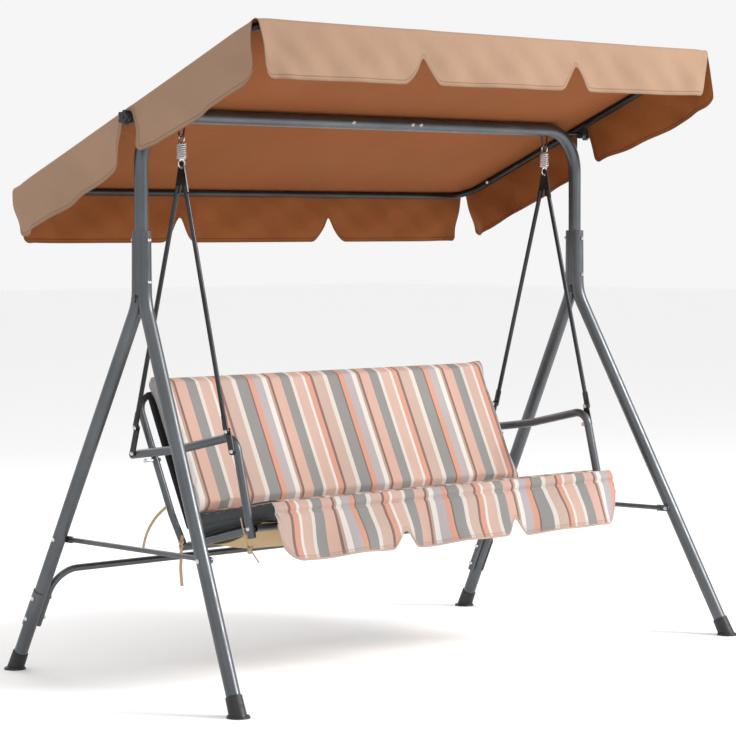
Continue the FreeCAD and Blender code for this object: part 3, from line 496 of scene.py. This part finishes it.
def canopy_top_point(x, forward):
    """The top cloth's middle surface: slack between the beam and the bars, puckered at the edges."""
    across = 1 - abs(x) / CANOPY_X
    along = (forward - CANOPY_REAR) / (CANOPY_FRONT - CANOPY_REAR)
    bay = math.sin(math.pi * min(1.0, abs(forward) / BAR_REACH)) ** 2
    sag = SLACK * bay * smooth_step(across / 0.35)
    ripple = math.sin(x * 17 + 2.0 * math.sin(forward * 5)) + 0.6 * math.sin(x * 31 + forward * 9)
    ripple *= min(1.0, 6 * along, 6 * (1 - along)) * min(1.0, across * 8)
    ripple *= RIPPLE * smooth_step(abs(forward) / BEAM_CLEAR)
    corner = 0.0
    for corner_x in (-CANOPY_X, CANOPY_X):
        for corner_forward in (CANOPY_REAR, CANOPY_FRONT):
            away = math.hypot(x - corner_x, forward - corner_forward)
            angle = math.atan2(abs(forward - corner_forward), abs(x - corner_x))
            fade = math.exp(-(away / 0.14) ** 2) * min(1, away / 0.03)
            corner += CORNER_PUCKER * math.sin(angle * 9) * fade
    return canopy_point(x, forward, CANOPY_RISE - sag + ripple + corner)


# Each valance is a strip of columns that goes on from the top's edge: it turns over the bar and
# hangs down. A column knows its way out, how long it hangs, its fold and how far its free end
# leans along the edge, which opens the slits at the corners and at the knobs.
CORNER_LEAN = 0.042
REAR_LEAN = 0.034
NOTCH_X = 0.305
NOTCH_RISE = 0.084
NOTCH_HALF = 0.064
LOBE_CORNER = 0.036
SLIT_LEAN = 0.050
RIGHT_FLARE = 0.034
SLIT_LOW = -0.016
SLIT_HIGH = 0.022


def round_off(from_end, corner):
    """How much a panel's lower corner is cut away at a distance from its end."""
    if from_end >= corner:
        return 0.0
    return corner - math.sqrt(max(0.0, corner ** 2 - (corner - from_end) ** 2))


def lobed_drop(x):
    """How far a three-lobed valance hangs at a place along its top edge, as a share of its drop."""
    reach = 1.0 - round_off(CANOPY_X - abs(x), LOBE_CORNER) / DROP
    near = abs(abs(x) - NOTCH_X)
    if near < NOTCH_HALF:
        reach -= NOTCH_RISE / DROP * (1 - near / NOTCH_HALF) ** 1.6
    return reach


def cross_column(x, outward, lean, phase, length):
    """A column of the front or the rear valance."""
    drop = length * DROP * lobed_drop(x)
    near = smooth_step(1 - (CANOPY_X - abs(x)) / 0.20)
    fold = 0.0075 * math.sin(x * 8.5 + phase) + 0.0042 * math.sin(x * 21 + 2 * phase)
    fold += 0.004 * math.sin(x * 46 + phase) * near
    return outward, drop, fold, Vector((-math.copysign(lean, x) * near, 0, 0))


def side_column(side, forward):
    """A column of a side valance, slit at the knob; the front flap's rear edge leans forward."""
    along = (forward - CANOPY_REAR) / (CANOPY_FRONT - CANOPY_REAR)
    drop = DROP + 0.006 * math.sin(along * 9)
    drop -= round_off(min(forward - CANOPY_REAR, CANOPY_FRONT - forward), 0.045)
    lean = SLOPE_FRONT * (REAR_LEAN * smooth_step(1 - (forward - CANOPY_REAR) / 0.14))
    if forward > SLIT_HIGH - 0.001:
        drop -= round_off(forward - SLIT_HIGH, 0.016)
        lean = SLOPE_FRONT * (SLIT_LEAN * smooth_step(1 - (forward - SLIT_HIGH) / 0.16))
    elif forward < SLIT_LOW + 0.001:
        drop -= round_off(SLIT_LOW - forward, 0.042)
    fold = 0.0085 * math.sin(along * 17 + side) + 0.0045 * math.sin(along * 37 + 2)
    fold += 0.0030 * math.sin(along * 71) * smooth_step(1 - min(along, 1 - along) / 0.3)
    if side > 0:
        lean = lean + Vector((RIGHT_FLARE * smooth_step((forward + 0.05) / 0.55), 0, 0))
    return Vector((side, 0, 0)), drop, fold, lean


def hanging_point(top, column, depth):
    """A point of a valance: down a rounded turn over the edge, then hanging in soft folds."""
    outward, _, fold, lean = column
    turn = math.pi / 2 * EDGE_ROUND
    if depth < turn:
        angle = depth / EDGE_ROUND
        fall = EDGE_ROUND * (1 - math.cos(angle))
        return top + outward * (EDGE_ROUND * math.sin(angle)) - Vector((0, 0, fall))
    down = depth - turn
    share = down / DROP
    skew = 0.0055 * math.sin(top.x * 23 + top.y * 31 + share * 4.2)
    skew += 0.0032 * math.sin(top.x * 47 - top.y * 58 - share * 7.0)
    swing = fold * share ** 1.2 + skew * math.sin(math.pi * min(1.0, share) * 0.8)
    return top + outward * (EDGE_ROUND + swing) + lean * share - Vector((0, 0, EDGE_ROUND + down))


COLUMN_STEP = 0.012
ROW_STEP = 0.013
HEM_FAR = 0.2


def build_canopy():
    """One sheet: the sloping top and four valances grown from its edges, slit at the corners."""
    vertices, faces, hems = [], [], []
    xs = np.linspace(-CANOPY_X + EDGE_ROUND, CANOPY_X - EDGE_ROUND,
                     int(2 * CANOPY_X / COLUMN_STEP) + 1)
    front_edge = CANOPY_FRONT - EDGE_ROUND
    rear_edge = CANOPY_REAR + EDGE_ROUND
    forwards = np.r_[np.linspace(rear_edge, SLIT_LOW, 45), np.linspace(SLIT_HIGH, front_edge, 44)]
    grid = {}
    for j, forward in enumerate(forwards):
        for i, x in enumerate(xs):
            grid[i, j] = len(vertices)
            vertices.append(canopy_top_point(x, forward))
            hems.append(HEM_FAR)
    for j in range(len(forwards) - 1):
        for i in range(len(xs) - 1):
            faces.append((grid[i, j], grid[i, j + 1], grid[i + 1, j + 1], grid[i + 1, j]))
    rows = int(round((DROP + 0.017) / ROW_STEP))

    def grow(edge, columns, ends, flip):
        """Hangs columns from an edge of the top; ends tells how far each is from a free end."""
        strips = []
        for start, column, from_end in zip(edge, columns, ends):
            top = vertices[start]
            strip = [start]
            total = math.pi / 2 * EDGE_ROUND + column[1]
            for row in range(1, rows + 1):
                depth = total * row / rows
                strip.append(len(vertices))
                vertices.append(hanging_point(top, column, depth))
                hems.append(min(total - depth, from_end, HEM_FAR))
            strips.append(strip)
        for left, right in zip(strips, strips[1:]):
            gap = (vertices[left[0]] - vertices[right[0]]).length
            for row in range(2 if gap > 2 * COLUMN_STEP else rows):
                quad = (left[row], right[row], right[row + 1], left[row + 1])
                faces.append(quad[::-1] if flip else quad)

    last_i, last_j = len(xs) - 1, len(forwards) - 1
    x_ends = [CANOPY_X - abs(x) for x in xs]
    slit_ends = [min(f - CANOPY_REAR, CANOPY_FRONT - f, abs(f - (SLIT_HIGH if f > 0 else SLIT_LOW)))
                 for f in forwards]
    front_columns = [cross_column(x, Vector((0, -1, 0)), CORNER_LEAN, 0.6, 0.94 - 0.05 * x / CANOPY_X)
                     for x in xs]
    rear_columns = [cross_column(x, Vector((0, 1, 0)), REAR_LEAN, 2.0, 1.0) for x in xs]
    grow([grid[i, last_j] for i in range(len(xs))], front_columns, x_ends, True)
    grow([grid[i, 0] for i in range(len(xs))], rear_columns, x_ends, False)
    for side, column_index in ((-1, 0), (1, last_i)):
        side_columns = [side_column(side, forward) for forward in forwards]
        grow([grid[column_index, j] for j in range(len(forwards))], side_columns, slit_ends, side < 0)
    piece = mesh_object("canopy_cloth", vertices, faces, [CANOPY_OUT, CANOPY_IN_PAINTED_SHADE])
    set_hem(piece, hems)
    return piece


canopy = build_canopy()
# The inner side gets the darker copy of the canopy cloth: painted shade.
thicken(canopy, CANOPY_SKIN, inner_material=1)
smooth_once(canopy)
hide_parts("canopy_top", "valance_front", "valance_rear", "valance_left", "valance_right")
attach(canopy, "canopy")


# ---------------------------------------------------------------- seat frame lines
FRONT_RAIL = Vector((0, -0.250, 0.437))
REAR_RAIL = Vector((0, 0.050, 0.362))
SEAT_REAR = (REAR_RAIL - FRONT_RAIL).normalized()
SEAT_UP = Vector((0, -SEAT_REAR.z, SEAT_REAR.y))
BACK_LOW = Vector((0, 0.031, 0.459))
BACK_UP = (Vector((0, 0.199, 0.824)) - BACK_LOW).normalized()
BACK_REAR = Vector((0, BACK_UP.z, -BACK_UP.y))
CUSHION_X = 0.664


def back_point(rise, set_back):
    """A point of the backrest: up along its slope and behind its front plane."""
    return BACK_LOW + BACK_UP * rise + BACK_REAR * set_back


# ---------------------------------------------------------------- cushions
def fit_to(piece, origin, along, out, extents):
    """Stretches the stuffed mesh along its own three directions so that it fills its place."""
    place = np.array([v.co for v in piece.data.vertices]) - np.array(origin)
    fitted = np.zeros_like(place) + np.array(origin)
    directions = (Vector((1, 0, 0)), along, out)
    for direction, (first, last) in zip(directions, extents):
        way = np.array(direction)
        values = place @ way
        low_value, high_value = values.min(), values.max()
        values = first + (values - low_value) * (last - first) / (high_value - low_value)
        fitted += values[:, None] * way
    piece.data.vertices.foreach_set("co", fitted.ravel())
    piece.data.update()


BEVEL = 0.010
SIM_FRAMES = 20


def cushion(name, outline, origin, along, out, extents, swell, rim_color, panel):
    """A stuffed cushion: the outline's block is remeshed and blown up with cloth; finish_cushion smooths
    it later.
    """
    vertices = []
    for x in (-CUSHION_X, CUSHION_X):
        vertices += [Vector((x, p.y, p.z)) for p in outline]
    count = len(outline)
    faces = [tuple(range(count))[::-1], tuple(range(count, 2 * count))]
    for index in range(count):
        after = (index + 1) % count
        faces.append((index, after, count + after, count + index))
    piece = mesh_object(name, vertices, faces, [panel, rim_color])
    mesh = bmesh.new()
    mesh.from_mesh(piece.data)
    bmesh.ops.recalc_face_normals(mesh, faces=mesh.faces)
    bmesh.ops.bevel(mesh, geom=list(mesh.edges), offset=BEVEL, segments=2, affect="EDGES")
    mesh.to_mesh(piece.data)
    mesh.free()
    remesh = piece.modifiers.new("voxels", "REMESH")
    remesh.mode = "VOXEL"
    remesh.voxel_size = VOXEL
    apply_modifiers(piece)
    rest = np.array([v.co for v in piece.data.vertices])
    cloth = piece.modifiers.new("stuffing", "CLOTH")
    cloth.settings.use_pressure = True
    cloth.settings.uniform_pressure_force = PRESSURE
    cloth.settings.effector_weights.gravity = 0.0
    cloth.settings.quality = 5
    cloth.point_cache.frame_start = 1
    cloth.point_cache.frame_end = SIM_FRAMES
    for frame_number in range(1, SIM_FRAMES + 1):
        scene.frame_set(frame_number)
        bpy.context.view_layer.update()
    apply_modifiers(piece)
    scene.frame_set(1)
    moved = np.array([v.co for v in piece.data.vertices]) - rest
    reach = np.linalg.norm(moved, axis=1, keepdims=True)
    moved *= np.minimum(1.0, swell / np.maximum(reach, 1e-9))
    piece.data.vertices.foreach_set("co", (rest + moved).ravel())
    fit_to(piece, origin, along, out, extents)
    return piece


def paint_borders(piece, inner, plan):
    """Gives the cushion's boxed ends and its hidden side the plain border cloth."""
    for polygon in piece.data.polygons:
        centre = polygon.center
        polygon.use_smooth = True
        end = abs(centre.x) > inner
        polygon.material_index = 1 if end or plan(centre, polygon.normal) else 0


def piping_loop(name, piece, x, origin, along, out, outline, color):
    """Piping round a cushion at one place across it, laid on the stuffed surface itself."""
    path = []
    for place, height in outline:
        guess = origin + Vector((x, 0, 0)) + along * place + out * height
        found, point, normal, _ = piece.closest_point_on_mesh(guess)
        path.append(point + normal * 0.0006 if found else guess)
    return seam_cord(name, path, 0.0050, color, piece)


OVAL_STEPS = 72


def oval(low, high, near, far):
    """A rounded rectangle as (along, out) pairs, closed on itself."""
    outline = []
    for index in range(OVAL_STEPS + 1):
        turn = 2 * math.pi * index / OVAL_STEPS
        wide = math.copysign(abs(math.cos(turn)) ** 0.35, math.cos(turn))
        tall = math.copysign(abs(math.sin(turn)) ** 0.35, math.sin(turn))
        outline.append(((low + high) / 2 + (high - low) / 2 * wide,
                        (near + far) / 2 + (far - near) / 2 * tall))
    return outline


def finish_cushion(piece, node, inner, plan):
    """Smooths a cushion, gives it its border cloth and hands it to the frame."""
    smooth_once(piece)
    paint_borders(piece, inner, plan)
    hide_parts(node)
    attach(piece, "seat")


# The blocks start a little smaller than the cushions: stuffing crowns them and fit_to adds the rest.
BACK_THICK = 0.054
BACK_TALL = 0.402
INSET = 0.012
VOXEL = 0.007
PRESSURE = 3.0
CUSHION_WIDTH = (-0.668, 0.668)
BACK_HEIGHT = (-0.002, 0.406)
BACK_DEPTH = (-0.012, 0.053)
SEAT_LENGTH = (-0.064, 0.306)
SEAT_DEPTH = (0.0136, 0.0885)
back_outline = [back_point(INSET, INSET), back_point(BACK_TALL - INSET, INSET),
                back_point(BACK_TALL - INSET, BACK_THICK - 0.004), back_point(INSET, BACK_THICK - 0.004)]
back_cushion = cushion("back_cushion_padded", back_outline, BACK_LOW, BACK_UP, BACK_REAR,
                       (CUSHION_WIDTH, BACK_HEIGHT, BACK_DEPTH), 0.012, PALE_BORDER, STRIPED_BACK)
finish_cushion(back_cushion, "back_cushion", CUSHION_X - 0.008,
               lambda centre, normal: (centre - BACK_LOW).dot(BACK_REAR) > BACK_THICK * 0.6)

SEAT_BASE = 0.0138
seat_base = SEAT_UP * SEAT_BASE
seat_outline = [FRONT_RAIL - SEAT_REAR * 0.046 + seat_base, REAR_RAIL - SEAT_REAR * 0.018 + seat_base,
                back_point(-0.006, 0.032), BACK_LOW + Vector((0, -0.006, -0.012)),
                Vector((0, -0.294, 0.498))]
seat_cushion = cushion("seat_cushion_padded", seat_outline, FRONT_RAIL, SEAT_REAR, SEAT_UP,
                       (CUSHION_WIDTH, SEAT_LENGTH, SEAT_DEPTH), 0.010, CHARCOAL, STRIPED_SEAT)
finish_cushion(seat_cushion, "seat_cushion", CUSHION_X - 0.014,
               lambda centre, normal: normal.dot(SEAT_UP) < -0.6)

for side in (-1, 1):
    side_name = "left" if side < 0 else "right"
    piping_loop("back_piping_" + side_name, back_cushion, side * 0.660,
                BACK_LOW, BACK_UP, BACK_REAR, oval(*BACK_HEIGHT, *BACK_DEPTH), PALE_BORDER)
    piping_loop("seat_piping_" + side_name, seat_cushion, side * 0.655,
                FRONT_RAIL, SEAT_REAR, SEAT_UP, oval(*SEAT_LENGTH, *SEAT_DEPTH), CHARCOAL)
    welt = [(-0.055 + 0.34 * step / 30, 0.037 + 0.016 * step / 30) for step in range(31)]
    piping_loop("seat_welt_" + side_name, seat_cushion, side * 0.675,
                FRONT_RAIL, SEAT_REAR, SEAT_UP, welt, CHARCOAL)


# ---------------------------------------------------------------- skirt of the seat
SKIRT_X = 0.690
SKIRT_DROP = 0.162
SKIRT_TOP = Vector((0, -0.302, 0.5085))
SKIRT_DOWN = Vector((0, -0.056, -0.154)).normalized()
SKIRT_OUT = Vector((0, SKIRT_DOWN.z, -SKIRT_DOWN.y)).normalized()
SKIRT_RISE = 0.048
SKIRT_ROUND = (0.075, 0.100)
SKIRT_NOTCH = 0.060
SEAM_DEPTH = 0.031
SKIRT_THICK = 0.0045


def skirt_drop(x):
    """The hanging depth of the scalloped skirt at a place across the seat."""
    drop = SKIRT_DROP
    wide, tall = SKIRT_ROUND
    inward = (SKIRT_X - abs(x)) / wide
    if inward < 1:
        drop -= tall * (1 - math.sqrt(max(0.0, 1 - (1 - inward) ** 2)))
    near = abs(abs(x) - SKIRT_X / 3)
    if near < SKIRT_NOTCH:
        drop -= SKIRT_RISE * smooth_step(1 - near / SKIRT_NOTCH) ** 1.25
    return drop


def skirt_point(x, depth):
    """The padded, gently wavy skirt: waves grow towards the free edge."""
    share = depth / SKIRT_DROP
    wave = 0.0110 * math.sin(x * 14.5 + 0.8) + 0.0070 * math.sin(x * 31.0 + 2.0)
    bend = 0.0060 * math.sin(x * 9 + 1) * math.sin(math.pi * min(1.0, share) * 2)
    seam = 0.004 * bell(depth, 0.016, 0.012) - 0.0060 * bell(depth, SEAM_DEPTH, 0.0055)
    puff = 0.0040 * math.sin(math.pi * min(1.0, share))
    out = wave * share ** 1.2 + bend + seam + puff
    return SKIRT_TOP + Vector((x, 0, 0)) + SKIRT_DOWN * depth + SKIRT_OUT * out


def build_skirt():
    """The skirt's sheet and the points of its free edge, which the piping follows."""
    vertices, hems, edge = [], [], []
    columns, rows = int(2 * SKIRT_X / 0.009), 34
    for column in range(columns + 1):
        x = -SKIRT_X + 2 * SKIRT_X * column / columns
        drop = skirt_drop(x)
        for row in range(rows + 1):
            depth = drop * row / rows
            vertices.append(skirt_point(x, depth))
            hems.append(min(drop - depth, abs(depth - SEAM_DEPTH) + 0.0095))
        edge.append(skirt_point(x, drop))
    piece = mesh_object("skirt_cloth", vertices, grid_faces(columns, rows), [STRIPED_SKIRT])
    set_hem(piece, hems)
    return piece, edge


skirt, skirt_edge = build_skirt()
thicken(skirt, SKIRT_THICK)
smooth_once(skirt)
piping = seam_cord("skirt_piping", [Vector(p) for p in skirt_edge], 0.0058, PIPING, skirt)
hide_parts("seat_skirt")
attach(skirt, "seat")


# ---------------------------------------------------------------- slings
SEAT_SLING_HALF = 0.676
BACK_SLING_HALF = 0.662
SEAT_SAG = 0.050
SLING_THICK = 0.0018


def sling(name, node, low_place, high_place, out, sag, half, color):
    """A stretched cloth between two tubes, dished by its sag and puckered along its hems."""
    vertices, hems = [], []
    columns, rows = 96, 40
    run = high_place - low_place
    for column in range(columns + 1):
        x = -half + 2 * half * column / columns
        ends = min(1.0, (1 - abs(x) / half) * 6)
        for row in range(rows + 1):
            share = row / rows
            dish = sag * math.sin(math.pi * share) * (0.55 + 0.45 * smooth_step(ends))
            pucker = 0.0012 * math.sin(x * 62) * (bell(share, 0, 0.1) + bell(share, 1, 0.1))
            ripple = 0.0012 * math.sin(x * 23 + share * 4) * math.sin(math.pi * share)
            vertices.append(Vector((x, 0, 0)) + low_place + run * share + out * (
                dish + pucker + ripple))
            edge = min(share, 1 - share) * run.length
            hems.append(min(edge, half - abs(x)))
    piece = mesh_object(name, vertices, grid_faces(columns, rows), [color])
    set_hem(piece, hems)
    thicken(piece, SLING_THICK)
    apply_modifiers(piece)
    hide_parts(node)
    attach(piece, "seat")


SLING_LIFT = 0.0118
BACK_SLING_SET = 0.0558
sling(
    "seat_sling_cloth", "seat_sling",
    FRONT_RAIL - SEAT_REAR * 0.006 + SEAT_UP * SLING_LIFT,
    REAR_RAIL - SEAT_REAR * 0.004 + SEAT_UP * SLING_LIFT,
    SEAT_UP, -SEAT_SAG, SEAT_SLING_HALF, TAN)
sling(
    "back_sling_cloth", "back_sling",
    back_point(-0.030, BACK_SLING_SET), back_point(0.376, BACK_SLING_SET),
    BACK_REAR, 0.004, BACK_SLING_HALF, BLACK_CLOTH)


# ---------------------------------------------------------------- stage and light
FLOOR = 40.0
FLOOR_WHITE = 0.96
SURROUND = 0.92
AIM = Vector((0, 0, 0.8))
LAMPS = (
    ("key", (3.2, -4.8, 4.0), 1.8, 360.0),
    ("fill", (-4.5, -2.6, 2.6), 3.5, 12.0),
    ("back", (0.5, 4.5, 3.6), 3.0, 60.0),
)


def stage_and_light():
    """A pale floor, a white surround and three soft lamps."""
    corners = [(-FLOOR, -FLOOR, 0), (FLOOR, -FLOOR, 0), (FLOOR, FLOOR, 0), (-FLOOR, FLOOR, 0)]
    floor = mesh_object("floor", corners, [(0, 1, 2, 3)], [])
    pale = Shader("pale_floor")
    pale.set(Base_Color=(FLOOR_WHITE, FLOOR_WHITE, FLOOR_WHITE, 1.0), Roughness=0.8)
    pale.bsdf.inputs["Specular IOR Level"].default_value = 0.1
    floor.data.materials.append(pale.material)
    world = bpy.data.worlds.new("studio")
    scene.world = world
    world.use_nodes = True
    world.node_tree.nodes["Background"].inputs["Color"].default_value = (1.0, 1.0, 1.0, 1.0)
    world.node_tree.nodes["Background"].inputs["Strength"].default_value = SURROUND
    for name, place, size, energy in LAMPS:
        light = bpy.data.lights.new(name, "AREA")
        light.size = size
        light.energy = energy
        lamp = bpy.data.objects.new(name, light)
        lamp.location = place
        toward = AIM - Vector(place)
        lamp.rotation_euler = toward.to_track_quat("-Z", "Y").to_euler()
        scene.collection.objects.link(lamp)


stage_and_light()
scene.view_settings.view_transform = "Standard"
